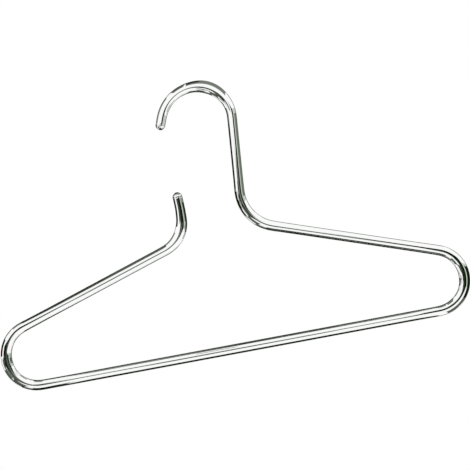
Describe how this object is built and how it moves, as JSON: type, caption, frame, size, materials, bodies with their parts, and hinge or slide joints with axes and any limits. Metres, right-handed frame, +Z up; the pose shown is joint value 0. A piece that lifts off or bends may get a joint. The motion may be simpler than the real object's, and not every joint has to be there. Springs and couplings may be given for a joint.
{
  "type": "clothes hanger",
  "caption": "Clothes hanger bent from one length of polished round metal tube, with an open hook, a free arm beside the neck, sloping shoulders, rounded ends and a straight lower bar.",
  "frame": {"origin": "top of the hook's inside, where the hanger bears on a rail, in the middle of the tube's thickness", "axes": "+X along the lower bar, away from the hook's mouth; +Y through the hanger's thickness, away from the viewer of the picture; +Z up"},
  "size_m": [0.3999, 0.0086, 0.2316],
  "materials": {
    "tube_metal": "polished bright, with faint marks from drawing and bending",
    "plug_metal": "turned and polished"
  },
  "bodies": {
    "root": {"bent_tube": "tube_metal", "hook_end_plug": "plug_metal", "arm_end_plug": "plug_metal"}
  },
  "joints": []
}
